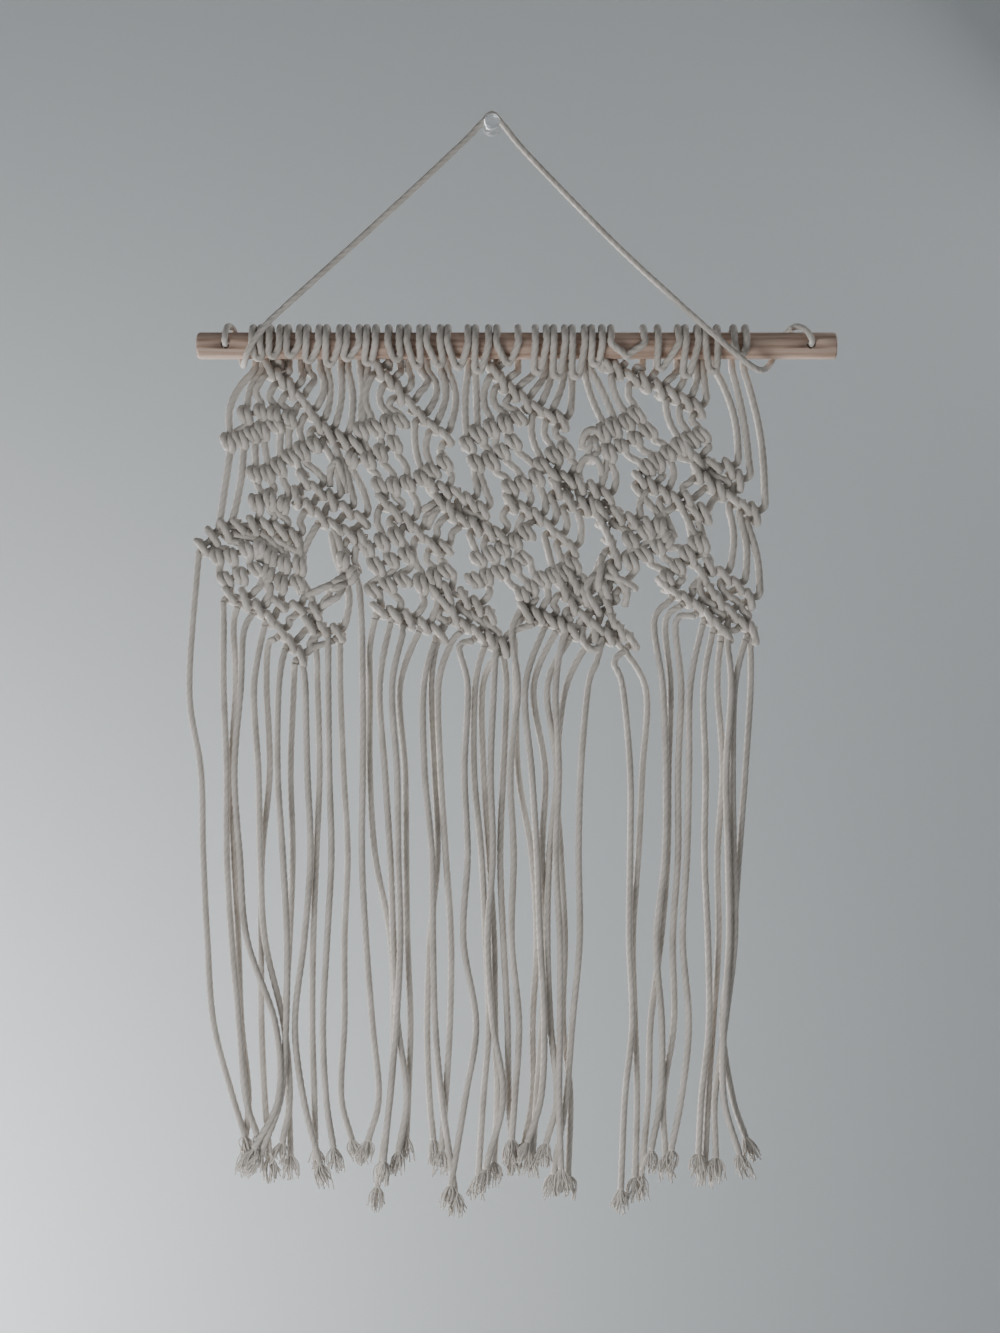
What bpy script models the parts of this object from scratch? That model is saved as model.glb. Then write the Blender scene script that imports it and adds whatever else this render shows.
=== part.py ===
"""Macrame wall hanging: a knotted cotton panel and fringe on a wooden dowel, hung from a push pin.

Metres, +Z up. The wall is the plane y = 0 and the hanging faces -Y. The origin is where the pin's flat
back meets the wall. Tables below are in millimetres, because they are short lists of measured places.
"""

from math import cos, pi, radians, sin, sqrt

import bmesh
import bpy
from mathutils import Vector

MM = 0.001

# Cotton cord
CORD_RADIUS = 0.0015

# Dowel, lying along X
DOWEL_LENGTH = 0.3048
DOWEL_RADIUS = 0.00635
DOWEL_MIDDLE_X = 0.0118
DOWEL_Y = -0.0107
DOWEL_Z = -0.107
DOWEL_SIDES = 32
END_CHAMFER = 0.0011
HOLE_RADIUS = 0.0021
HOLES_X = (-0.1266, 0.1517)

# Push pin: (radius, distance in front of the wall) down the outer side, front to back
PIN_PROFILE = ((0, 13.0), (2.6, 13.0), (3.7, 12.2), (3.9, 10.6), (2.5, 8.8), (2.3, 4.0), (3.2, 2.2), (4.6, 1.6),
               (4.8, 0), (0, 0))
PIN_SIDES = 24

# A lark's head wraps the dowel at this radius, measured to the middle of its cord
WRAP_RADIUS = 0.00865
WRAP_STEPS = 4
LOOP_HALF_WIDTH = 0.00178
LOOP_NEAREST = 0.0056
CORD_END_Y = -0.0061
CORD_END_Z = -0.1175

# Mounting knots: left leg, right leg and loop tip along X, and the lowest point of the loop
KNOT_COLUMNS = ("left", "right", "tip", "low")
KNOTS = (
    (-113.6, -109.8, -110.7, -115.6),
    (-105.4, -100.6, -103.7, -114.6),
    (-97.1, -91.4, -95.3, -114.2),
    (-87.9, -82.1, -86.7, -116.5),
    (-78.6, -72.3, -77.0, -118.0),
    (-68.8, -63.0, -68.4, -115.6),
    (-59.5, -55.2, -58.7, -117.5),
    (-49.1, -43.8, -45.3, -116.0),
    (-40.0, -34.2, -35.6, -118.9),
    (-30.7, -24.4, -25.0, -118.4),
    (-20.9, -11.3, -15.9, -119.4),
    (-7.8, -1.5, -6.3, -121.3),
    (2.4, 12.5, 7.7, -117.5),
    (20.7, 26.0, 21.7, -121.8),
    (29.5, 34.8, 30.8, -123.7),
    (38.3, 44.1, 40.0, -123.7),
    (47.6, 52.4, 49.1, -118.0),
    (56.8, 72.2, 64.0, -114.6),
    (79.0, 88.6, 80.5, -119.9),
    (92.1, 97.9, 92.5, -123.3),
    (101.4, 107.2, 105.0, -121.3),
    (115.1, 120.8, 118.0, -114.2),
)

# Knotted panel: its outline as stations from left to right, with the top and bottom edge at each
PANEL_Y = -0.009
PANEL_THICKNESS = 0.007
PANEL_TOP = -117.8
PANEL_COLUMNS = ("x", "top", "bottom")
PANEL_OUTLINE = (
    (-139.2, -200.0, -207.0),
    (-130.0, -186.0, -223.0),
    (-129.2, -152.0, -225.5),
    (-124.0, -143.0, -229.5),
    (-118.0, -131.0, -236.0),
    (-110.7, PANEL_TOP, -238.8),
    (-92.4, PANEL_TOP, -254.7),
    (-75.6, PANEL_TOP, -247.5),
    (-61.2, PANEL_TOP, -230.0),
    (-51.5, PANEL_TOP, -234.0),
    (-32.3, PANEL_TOP, -243.6),
    (-14.0, PANEL_TOP, -244.5),
    (3.9, PANEL_TOP, -253.3),
    (13.5, PANEL_TOP, -238.8),
    (35.1, PANEL_TOP, -240.3),
    (52.0, PANEL_TOP, -261.0),
    (71.3, PANEL_TOP, -252.5),
    (81.0, PANEL_TOP, -226.0),
    (100.2, PANEL_TOP, -229.0),
    (123.3, PANEL_TOP, -243.6),
    (124.6, -166.0, -244.4),
    (127.4, -182.0, -240.0),
)

# The largest gaps of the net: middle, width and height, each a pointed leaf
GAP_COLUMNS = ("x", "z", "wide", "high")
GAPS = (
    (-121.0, -167.0, 5.0, 32.0),
    (-80.4, -209.0, 14.0, 26.0),
    (-68.5, -222.0, 7.0, 8.0),
    (-10.6, -209.0, 9.5, 29.0),
    (-15.5, -156.0, 5.5, 15.0),
    (3.9, -185.0, 7.0, 18.0),
    (42.4, -146.5, 9.5, 20.0),
    (47.2, -201.5, 14.0, 19.0),
    (72.0, -225.0, 8.5, 26.0),
    (79.5, -191.0, 7.0, 15.0),
    (71.0, -165.0, 6.5, 16.0),
    (109.5, -145.0, 5.5, 36.0),
    (118.5, -199.5, 5.0, 26.0),
)
LEAF_STEPS = 4

# Fringe: a comb of strands whose back strip follows the panel's bottom edge
FRINGE_THICKNESS = 0.003
FRINGE_GAP = 0.6
STRIP_DEPTH = 3.4
STRAND_WIDTH = 3.0
STRAND_STEPS = 7
FOOT_RAGGED = 5.0
FOOT_TURN = 2.4

# Groups of strands: first and last strand at the strip and at the foot. A bow bends a strand one way, and a
# sway bends it both ways.
FRINGE_COLUMNS = (
    "count", "first", "last", "foot_first", "foot_last", "foot_z_first", "foot_z_last", "bow", "sway"
)
FRINGE = (
    (1, -137.2, -137.2, -118.0, -118.0, -492.0, -492.0, -10.0, 0.0),
    (12, -127.0, -69.5, -113.0, -72.0, -497.0, -491.0, 0.0, 1.5),
    (1, -62.0, -62.0, -58.0, -58.0, -495.0, -495.0, 0.0, 1.5),
    (5, -53.0, -29.0, -49.5, -27.5, -486.0, -492.0, 0.0, 2.5),
    (1, -23.0, -23.0, -19.0, -19.0, -520.0, -520.0, 0.0, 3.0),
    (4, -14.5, 2.5, -11.5, 1.5, -500.0, -494.0, 0.0, 2.0),
    (9, 8.0, 38.5, 7.5, 37.0, -505.0, -497.0, 0.0, -2.0),
    (3, 45.0, 68.0, 43.0, 64.0, -512.0, -500.0, 0.0, -3.5),
    (8, 78.5, 121.5, 72.5, 112.0, -517.0, -499.0, 0.0, -5.0),
)

# Hanger cord: its route from the left hole, over the pin, to the right hole
HANGER_ROUTE = (
    (-126.6, -11.0, -107.0),
    (-126.6, -15.5, -107.0),
    (-126.5, -19.4, -104.9),
    (-125.8, -15.4, -98.9),
    (-124.0, -7.6, -98.3),
    (-122.3, -2.2, -104.2),
    (-120.4, -3.2, -111.8),
    (-118.7, -9.6, -116.1),
    (-117.4, -17.4, -115.9),
    (-115.2, -22.2, -111.4),
    (-111.8, -23.3, -105.6),
    (-106.2, -21.6, -98.0),
    (-98.6, -19.4, -90.2),
    (-63.0, -13.6, -56.6),
    (-17.2, -7.6, -12.6),
    (-5.6, -5.8, -0.4),
    (0.1, -5.5, 4.8),
    (6.0, -5.8, -1.0),
    (18.0, -7.6, -15.8),
    (58.0, -13.8, -58.2),
    (88.0, -19.2, -87.2),
    (99.0, -22.2, -97.8),
    (107.0, -23.4, -105.2),
    (116.4, -23.6, -113.4),
    (123.6, -21.8, -118.6),
    (129.2, -14.6, -119.0),
    (133.4, -5.8, -114.9),
    (137.4, -1.9, -107.2),
    (141.6, -4.6, -99.9),
    (145.4, -11.4, -97.8),
    (149.2, -17.8, -100.6),
    (151.5, -19.5, -105.0),
    (151.7, -15.5, -107.0),
    (151.7, -11.0, -107.0),
)
HANGER_STEPS = 2


def clear_scene():
    for scene_object in list(bpy.data.objects):
        bpy.data.objects.remove(scene_object, do_unlink=True)


def new_collection(name):
    collection = bpy.data.collections.new(name)
    bpy.context.scene.collection.children.link(collection)
    return collection


def new_object(name, data, collection, material=None):
    made = bpy.data.objects.new(name, data)
    collection.objects.link(made)
    if material:
        data.materials.append(material)
    return made


def principled(name, colour, roughness, transmission=0.0):
    """A Principled material with a plain colour."""
    material = bpy.data.materials.new(name)
    material.use_nodes = True
    shader = material.node_tree.nodes["Principled BSDF"]
    shader.inputs["Base Color"].default_value = (*colour, 1.0)
    shader.inputs["Roughness"].default_value = roughness
    shader.inputs["Metallic"].default_value = 0.0
    shader.inputs["Transmission Weight"].default_value = transmission
    return material


def rows(table, columns):
    """The rows of a table as dictionaries, by column name."""
    return [dict(zip(columns, row)) for row in table]


def smooth_route(points, per_span):
    """A Catmull-Rom curve through the points, with per_span points to each span."""
    padded = [points[0] * 2 - points[1], *points, points[-1] * 2 - points[-2]]
    route = []
    for before, start, end, after in zip(padded, padded[1:], padded[2:], padded[3:]):
        for step in range(per_span):
            t = step / per_span
            route.append(
                0.5 * (2 * start + (end - before) * t
                       + (2 * before - 5 * start + 4 * end - after) * t ** 2
                       + (3 * start - before - 3 * end + after) * t ** 3)
            )
    return [*route, points[-1]]


def tube(name, route, radius, collection, material):
    """A round cord along a route, as a curve with a bevel and filled caps."""
    curve = bpy.data.curves.new(name, "CURVE")
    curve.dimensions = "3D"
    curve.bevel_depth = radius
    curve.bevel_resolution = 2
    curve.use_fill_caps = True
    spline = curve.splines.new("POLY")
    spline.points.add(len(route) - 1)
    for point, place in zip(spline.points, route):
        point.co = (*place, 1.0)
    return new_object(name, curve, collection, material)


def upright_plate(name, outlines, thickness, collection, material):
    """A flat plate from closed outlines of (x, z) in millimetres, standing in the XZ plane. Inner ones are holes."""
    curve = bpy.data.curves.new(name, "CURVE")
    curve.dimensions = "2D"
    curve.fill_mode = "BOTH"
    curve.extrude = thickness / 2
    for outline in outlines:
        spline = curve.splines.new("POLY")
        spline.points.add(len(outline) - 1)
        spline.use_cyclic_u = True
        for point, (x, z) in zip(spline.points, outline):
            point.co = (x * MM, z * MM, 0.0, 1.0)
    plate = new_object(name, curve, collection, material)
    plate.rotation_euler = (pi / 2, 0.0, 0.0)
    plate.location = (0.0, PANEL_Y, 0.0)
    return plate


def shade_round(mesh):
    mesh.shade_smooth()
    mesh.set_sharp_from_angle(angle=radians(35))


def cylinder(name, radius, length, sides, collection, material=None):
    """A cylinder along its own Z, about its own origin."""
    mesh = bpy.data.meshes.new(name)
    shape = bmesh.new()
    bmesh.ops.create_cone(shape, cap_ends=True, segments=sides, radius1=radius, radius2=radius, depth=length)
    shape.to_mesh(mesh)
    shape.free()
    return new_object(name, mesh, collection, material)


def make_dowel(collection, cutters, material):
    """The wooden rod, with chamfered ends and a small hole drilled from front to back near each end."""
    dowel = cylinder("dowel", DOWEL_RADIUS, DOWEL_LENGTH, DOWEL_SIDES, collection, material)
    dowel.rotation_euler = (0.0, pi / 2, 0.0)
    dowel.location = (DOWEL_MIDDLE_X, DOWEL_Y, DOWEL_Z)
    chamfer = dowel.modifiers.new("end_chamfer", "BEVEL")
    chamfer.width = END_CHAMFER
    chamfer.segments = 2
    chamfer.limit_method = "ANGLE"
    for number, hole_x in enumerate(HOLES_X, 1):
        drill = cylinder(f"drill_{number}", HOLE_RADIUS, 4 * DOWEL_RADIUS, 16, cutters)
        drill.rotation_euler = (pi / 2, 0.0, 0.0)
        drill.location = (hole_x, DOWEL_Y, DOWEL_Z)
        drill.hide_render = True
        drill.display_type = "WIRE"
        hole = dowel.modifiers.new(f"hole_{number}", "BOOLEAN")
        hole.operation = "DIFFERENCE"
        hole.object = drill
    shade_round(dowel.data)


def make_pin(collection, material):
    """The turned push pin, whose flat back lies on the wall."""
    mesh = bpy.data.meshes.new("wall_pin")
    places = [(radius * MM, 0.0, front * MM) for radius, front in PIN_PROFILE]
    edges = [(start, start + 1) for start in range(len(places) - 1)]
    mesh.from_pydata(places, edges, [])
    pin = new_object("wall_pin", mesh, collection, material)
    pin.rotation_euler = (pi / 2, 0.0, 0.0)
    turn = pin.modifiers.new("turn", "SCREW")
    turn.axis = "Z"
    turn.steps = PIN_SIDES
    turn.render_steps = PIN_SIDES
    turn.use_merge_vertices = True
    turn.merge_threshold = 0.00001


def wrap_point(x, angle):
    """A place on the wrap round the dowel: 0 is behind it, 90 degrees on top and 180 in front."""
    return Vector((x, DOWEL_Y + WRAP_RADIUS * cos(angle), DOWEL_Z + WRAP_RADIUS * sin(angle)))


def knot_route(knot):
    """A folded cord: both ends rise behind the dowel, go over it, and meet in a loop that hangs in front."""
    left, right, tip, low = (knot[column] * MM for column in KNOT_COLUMNS)
    loop_low = low + CORD_RADIUS
    loop_side_z = loop_low + LOOP_HALF_WIDTH
    below_axis = min(DOWEL_Z - loop_side_z, WRAP_RADIUS)
    loop_y = DOWEL_Y - max(sqrt(WRAP_RADIUS ** 2 - below_axis ** 2), LOOP_NEAREST)
    over = [pi * step / WRAP_STEPS for step in range(WRAP_STEPS + 1)]
    return [
        Vector((left, CORD_END_Y, CORD_END_Z)),
        *(wrap_point(left, angle) for angle in over),
        Vector((tip - LOOP_HALF_WIDTH, loop_y, loop_side_z)),
        Vector((tip, loop_y, loop_low)),
        Vector((tip + LOOP_HALF_WIDTH, loop_y, loop_side_z)),
        *(wrap_point(right, angle) for angle in reversed(over)),
        Vector((right, CORD_END_Y, CORD_END_Z)),
    ]


def make_knots(collection, material):
    for number, knot in enumerate(rows(KNOTS, KNOT_COLUMNS), 1):
        tube(f"lark_knot_{number:02d}", knot_route(knot), CORD_RADIUS, collection, material)


def leaf(gap):
    """A closed leaf, pointed at its top and bottom."""
    sides = []
    for side in (1, -1):
        for step in range(LEAF_STEPS):
            turn = pi * step / LEAF_STEPS
            sides.append((gap["x"] + side * sin(turn) * gap["wide"] / 2, gap["z"] + side * cos(turn) * gap["high"] / 2))
    return sides


def make_panel(collection, material):
    """The knotted net, as one plate with the net's outline and its largest gaps."""
    stations = rows(PANEL_OUTLINE, PANEL_COLUMNS)
    top = [(station["x"], station["top"]) for station in stations]
    bottom = [(station["x"], station["bottom"]) for station in reversed(stations)]
    gaps = [leaf(gap) for gap in rows(GAPS, GAP_COLUMNS)]
    upright_plate("knotted_panel", [top + bottom, *gaps], PANEL_THICKNESS, collection, material)


def strip_top(x):
    """The height of the fringe strip's top edge, just under the panel's bottom edge."""
    stations = rows(PANEL_OUTLINE, PANEL_COLUMNS)
    for left, right in zip(stations, stations[1:]):
        if x <= right["x"]:
            share = (x - left["x"]) / (right["x"] - left["x"])
            return left["bottom"] + share * (right["bottom"] - left["bottom"]) - FRINGE_GAP
    return stations[-1]["bottom"] - FRINGE_GAP


def strand_side(strand, offset):
    """One side of a strand, from the strip down to its foot."""
    top_z = strip_top(strand["x"] + offset) - STRIP_DEPTH
    side = []
    for step in range(STRAND_STEPS + 1):
        share = step / STRAND_STEPS
        ease = share * share * (3 - 2 * share)
        bend = strand["bow"] * sin(pi * share) + strand["sway"] * sin(2 * pi * share) / 2
        x = strand["x"] + ease * (strand["foot_x"] - strand["x"]) + bend
        side.append((x + offset, top_z + share * (strand["foot_z"] - top_z)))
    return side


def strands():
    """Every strand of the fringe, from left to right."""
    made = []
    for group in rows(FRINGE, FRINGE_COLUMNS):
        for number in range(group["count"]):
            share = number / max(group["count"] - 1, 1)
            made.append({
                "x": group["first"] + share * (group["last"] - group["first"]),
                "foot_x": group["foot_first"] + share * (group["foot_last"] - group["foot_first"]),
                "foot_z": (group["foot_z_first"] + share * (group["foot_z_last"] - group["foot_z_first"])
                           + FOOT_RAGGED * sin(FOOT_TURN * number)),
                "bow": group["bow"],
                "sway": group["sway"],
            })
    return made


def make_fringe(collection, material):
    """The fringe, as one comb: a strip under the panel's edge, and a tooth for each strand."""
    combed = strands()
    half = STRAND_WIDTH / 2
    ends = (combed[0]["x"] - half, combed[-1]["x"] + half)
    inner = [station[0] for station in PANEL_OUTLINE if ends[0] + 1 < station[0] < ends[1] - 1]
    outline = [(x, strip_top(x)) for x in (ends[0], *inner, ends[1])]
    for strand in reversed(combed):
        outline += strand_side(strand, half)
        outline += reversed(strand_side(strand, -half))
    upright_plate("fringe", [outline], FRINGE_THICKNESS, collection, material)


def make_hanger(collection, material):
    """The hanging cord, from one hole of the dowel over the pin to the other hole."""
    route = [Vector(place) * MM for place in HANGER_ROUTE]
    tube("hanger_cord", smooth_route(route, HANGER_STEPS), CORD_RADIUS, collection, material)


def main():
    clear_scene()
    hanging = new_collection("macrame_wall_hanging")
    cutters = new_collection("cutters")
    wood = principled("pale_wood", (0.55, 0.42, 0.33), 0.6)
    cotton = principled("natural_cotton", (0.74, 0.70, 0.62), 0.9)
    clear_plastic = principled("clear_plastic", (0.85, 0.87, 0.88), 0.12, 0.7)
    make_dowel(hanging, cutters, wood)
    make_pin(hanging, clear_plastic)
    make_hanger(hanging, cotton)
    make_knots(hanging, cotton)
    make_panel(hanging, cotton)
    make_fringe(hanging, cotton)


main()
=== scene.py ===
"""The looks of a macrame wall hanging: its cords, wooden dowel, push pin, light and camera.

Metres, +Z up. The wall is the plane y = 0 and the hanging faces -Y. Tables are in millimetres.
"""

import random
from math import atan, cos, pi, radians, sin, sqrt

import bmesh
import bpy
import numpy as np
from mathutils import Matrix, Vector


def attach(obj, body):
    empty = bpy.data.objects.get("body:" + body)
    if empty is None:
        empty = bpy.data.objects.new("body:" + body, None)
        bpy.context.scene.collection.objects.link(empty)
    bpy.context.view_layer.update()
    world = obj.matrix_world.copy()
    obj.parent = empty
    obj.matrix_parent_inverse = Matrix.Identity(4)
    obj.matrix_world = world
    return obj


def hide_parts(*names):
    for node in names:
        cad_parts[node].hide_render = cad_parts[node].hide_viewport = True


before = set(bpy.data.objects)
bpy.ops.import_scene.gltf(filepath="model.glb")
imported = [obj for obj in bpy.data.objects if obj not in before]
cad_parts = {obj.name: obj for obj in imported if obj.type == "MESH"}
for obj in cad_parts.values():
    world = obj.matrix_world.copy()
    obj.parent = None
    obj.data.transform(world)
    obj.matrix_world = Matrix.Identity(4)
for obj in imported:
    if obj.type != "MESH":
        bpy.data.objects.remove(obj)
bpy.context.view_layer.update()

MM = 0.001
BODY = "root"

# Cotton cord: its radius where it is pulled tight, and where it lies slack in the heading, net and fringe
CORD_RADIUS = 0.0015
HEADING_RADIUS = 0.0017
NET_CORD_RADIUS = 0.0018
FRINGE_RADIUS = 0.0016

# A cord's mesh: the distance between its rings, the corners of a ring, and the plies twisted into it
RING_STEP = 0.95
SIDES = 9
PLIES = 3
PLY_DEPTH = 0.07
TWIST_PITCH = 13.0
FIRST_SIDE = (0.31, 0.87, 0.38)
CORD_MAP = "cord_map"
MAP_SHIFT = 50

# The frayed foot of a strand: loose fibres, their radius, how far they reach and how far they spread
TUFT_FIBRES = 26
FIBRE_RADIUS = 0.00036
FIBRE_SIDES = 5
FIBRE_STEP = 1.4
TUFT_LENGTH = 11.0
TUFT_SPREAD = 3.6
REACH_RANGE = (0.6, 1.15)
FOOT_INSIDE = 0.7
FOOT_DEPTH = 0.7

# The net's middle depth. A point in the tables is across, up and, if it has a third number, in front of this.
NET_Y = -0.009

# Dowel, lying along X
DOWEL_LENGTH = 0.3048
DOWEL_RADIUS = 0.00635
DOWEL_MIDDLE_X = 0.0118
DOWEL_Y = -0.0107
DOWEL_Z = -0.107
DOWEL_SIDES = 64
DOWEL_BANDS = 24
WORN_RADIUS = 1.8
WORN_TURNS = (0, 0.4, 0.8, 1.2, pi / 2)
HOLE_RADIUS = 0.0021
HOLES_X = (-0.1266, 0.1517)
HOLE_SIDES = 24

# Lark's head knots on the dowel: left leg, right leg and loop tip along X, and the lowest point of the loop
WRAP_RADIUS = 0.00865
WRAP_STEPS = 6
LOOP_HALF_WIDTH = 0.00178
LOOP_NEAREST = 0.0056
CORD_END_Y = -0.0061
CORD_END_Z = -0.1175
KNOT_COLUMNS = ("left", "right", "tip", "low")
KNOTS = (
    (-113.6, -109.8, -110.7, -115.6),
    (-105.4, -100.6, -103.7, -114.6),
    (-97.1, -91.4, -95.3, -114.2),
    (-87.9, -82.1, -86.7, -116.5),
    (-78.6, -72.3, -77.0, -118.0),
    (-68.8, -63.0, -68.4, -115.6),
    (-59.5, -55.2, -58.7, -117.5),
    (-49.1, -43.8, -45.3, -116.0),
    (-40.0, -34.2, -35.6, -118.9),
    (-30.7, -24.4, -25.0, -118.4),
    (-20.9, -11.3, -15.9, -119.4),
    (-7.8, -1.5, -6.3, -121.3),
    (2.4, 12.5, 7.7, -117.5),
    (20.7, 26.0, 21.7, -121.8),
    (29.5, 34.8, 30.8, -123.7),
    (38.3, 44.1, 40.0, -123.7),
    (47.6, 52.4, 49.1, -118.0),
    (56.8, 72.2, 64.0, -114.6),
    (79.0, 88.6, 80.5, -119.9),
    (92.1, 97.9, 92.5, -123.3),
    (101.4, 107.2, 105.0, -121.3),
    (115.1, 120.8, 118.0, -114.2),
)

# Where each leg of the knots leads, from left to right: a hitch, or the start of a row's holding cord
LEG_COLUMNS = ("row", "place", "bow")
HOLDING = -1
LEGS = (
    ("Y1", 0, -5), ("B1", 0, -2), ("A1", HOLDING, 0), ("A1", 0, 0), ("A1", 1, 0), ("A1", 2, 1),
    ("A1", 3, 3), ("A1", 4, 2.5), ("A1", 5, 1.7), ("A1", 6, 1.5), ("A1", 7, 2), ("A1", 8, 1),
    ("B2", 0, -0.5), ("A2", HOLDING, 0), ("A2", 0, 0), ("A2", 1, 1), ("A2", 2, 1), ("A2", 3, 4),
    ("A2", 4, 4), ("A2", 5, 3), ("A2", 6, 3), ("B3", 0, -1), ("B3", 1, 0), ("A3", HOLDING, 0),
    ("A3", 0, 0), ("A3", 1, 1), ("A3", 2, 1.5), ("A3", 3, 1), ("A3", 4, 0.5), ("A3", 5, 1),
    ("A3", 6, 0.5), ("B4", 0, -1), ("B4", 1, 0.5), ("A4", HOLDING, 0), ("A4", 1, 2), ("A4", 2, 1),
    ("A4", 3, 0), ("A4", 4, 1), ("A4", 5, 1), ("A4", 6, 1), ("A4", 7, 0), ("E4", 3, 3.3),
    ("E4", 4, 1.5), ("F4", 5, 3),
)

# Rows of hitches. A row is named by a letter and its column of the net. Falling rows are hitched over from
# behind, and rising rows from the front. A row runs through its points, with count hitches evenly along it.
ROW_COLUMNS = ("name", "kind", "count", "points")
ROWS = (
    ("A1", "falling", 9, ((-106, -118), (-91, -132), (-80, -147), (-65, -154))),
    ("B1", "rising", 4, ((-118, -140), (-111, -138.5), (-97, -142))),
    ("Y1", "rising", 5, ((-126, -153), (-116, -150), (-104, -145.5))),
    ("C1", "rising", 6, ((-114, -168.5), (-107, -168), (-95, -160), (-85, -154.5))),
    ("D1", "rising", 3, ((-113, -182), (-106, -180.5), (-100, -183))),
    ("E1", "falling", 5, ((-90, -171), (-81, -177), (-62, -190))),
    ("F1", "falling", 6, ((-93, -179), (-81, -189), (-61, -200))),
    ("G1", "falling", 8, ((-138, -203), (-127, -194), (-108, -193), (-94, -198))),
    ("H1", "rising", 7, ((-132, -207.5), (-125, -207), (-112, -203), (-103, -210), (-92, -212))),
    ("I1", "rising", 6, ((-128, -218.5), (-115, -215), (-110, -212), (-101, -220), (-93, -220))),
    ("J1", "falling", 7, ((-125, -226), (-118, -228), (-105, -238), (-90.5, -255))),
    ("K1", "falling", 3, ((-101, -230), (-84, -234))),
    ("Q1", "falling", 3, ((-87, -240), (-73, -244))),
    ("L1", "rising", 3, ((-71, -209), (-67, -216), (-73, -220))),
    ("A2", "falling", 7, ((-54, -118), (-43, -130.5), (-32, -142), (-22, -150))),
    ("B2", "rising", 4, ((-63, -148), (-58, -147), (-44, -143))),
    ("C2", "rising", 4, ((-67, -161), (-60, -162), (-47, -154))),
    ("D2", "rising", 6, ((-54, -174), (-46, -174), (-34, -170.5), (-23, -163))),
    ("E2", "falling", 5, ((-29, -173), (-15, -178.5), (-4, -185.5))),
    ("F2", "falling", 6, ((-25, -181.5), (-14, -190), (5, -198))),
    ("G2", "falling", 6, ((-51.5, -181.5), (-40, -191), (-28, -202), (-22, -203))),
    ("H2", "rising", 3, ((-60, -203.5), (-46, -198.5))),
    ("I2", "rising", 3, ((-56, -212), (-41, -207))),
    ("J2", "rising", 3, ((-57, -224), (-43, -219))),
    ("K2", "rising", 3, ((-34, -220.5), (-22, -215))),
    ("M2", "falling", 5, ((-28, -223.5), (-13, -227), (-0.5, -235.5))),
    ("N2", "falling", 5, ((-54, -233), (-40, -237), (-25, -244))),
    ("O2", "falling", 6, ((-23, -230), (-12, -241), (6, -251))),
    ("A3", "falling", 7, ((1.5, -119), (8, -127), (23.5, -138), (34, -142.5))),
    ("B3", "rising", 5, ((-12, -154.5), (-6, -149), (0, -146.5), (12.5, -142))),
    ("C3", "rising", 4, ((-8, -163), (-1, -162), (10, -153))),
    ("D3", "rising", 6, ((8, -175), (20.5, -170.5), (25, -162.5), (35, -157))),
    ("E3", "falling", 5, ((29.5, -168.5), (43, -173), (55.5, -178.5))),
    ("F3", "falling", 7, ((31, -175), (38, -181.5), (59, -187), (75, -193.5))),
    ("P3", "falling", 6, ((9, -182), (21.5, -188), (38.5, -203.5))),
    ("Q3", "rising", 5, ((-7, -209), (6, -203.5), (16, -196.5))),
    ("R3", "rising", 5, ((-9, -219), (4, -215), (15, -208.5))),
    ("W3", "rising", 6, ((14, -226), (23.5, -218.5), (34.5, -216), (38.5, -211.5))),
    ("X3", "falling", 5, ((16, -234), (27, -237), (39, -243.5))),
    ("S3", "falling", 6, ((32, -218), (38, -230.5), (56, -245.5))),
    ("T3", "falling", 3, ((40, -221.5), (49, -231))),
    ("U3", "falling", 7, ((48.5, -184), (55, -197), (60, -207.5), (58, -214), (62.5, -221))),
    ("V3", "falling", 5, ((54.5, -224.5), (58, -238), (66.5, -247.5))),
    ("A4", "falling", 8, ((54.5, -115), (67, -122), (86, -130), (99, -137))),
    ("B4", "rising", 4, ((52.5, -149), (57, -147), (69, -140.5))),
    ("C4", "rising", 4, ((55.5, -158), (74, -148))),
    ("D4", "rising", 6, ((73, -165.5), (90, -154.5), (100, -149.5))),
    ("E4", "falling", 5, ((93.5, -156), (99, -162), (113, -165), (118.5, -171.5))),
    ("F4", "falling", 6, ((98.5, -168), (108, -175), (126, -187))),
    ("G4", "falling", 4, ((71, -170.5), (88, -180.5))),
    ("H4", "rising", 4, ((66, -200), (79.5, -193), (83.5, -199.5))),
    ("I4", "rising", 3, ((66, -210), (78.5, -203))),
    ("Q4", "rising", 3, ((83, -218), (92.5, -206.5))),
    ("J4", "falling", 3, ((94, -181), (97, -186), (102, -187))),
    ("K4", "rising", 2, ((97, -202), (100, -201))),
    ("L4", "falling", 3, ((96, -208.5), (104.5, -223.5))),
    ("M4", "falling", 4, ((104, -212), (118.5, -222), (123.5, -228))),
    ("N4", "falling", 7, ((82, -221), (99, -232), (112, -244.5))),
    ("O4", "falling", 4, ((109, -229), (125, -244))),
)

KINDS = {name: kind for name, kind, count, points in ROWS}
ROW_STEP = 0.5
SLOPE_REACH = 4

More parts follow.
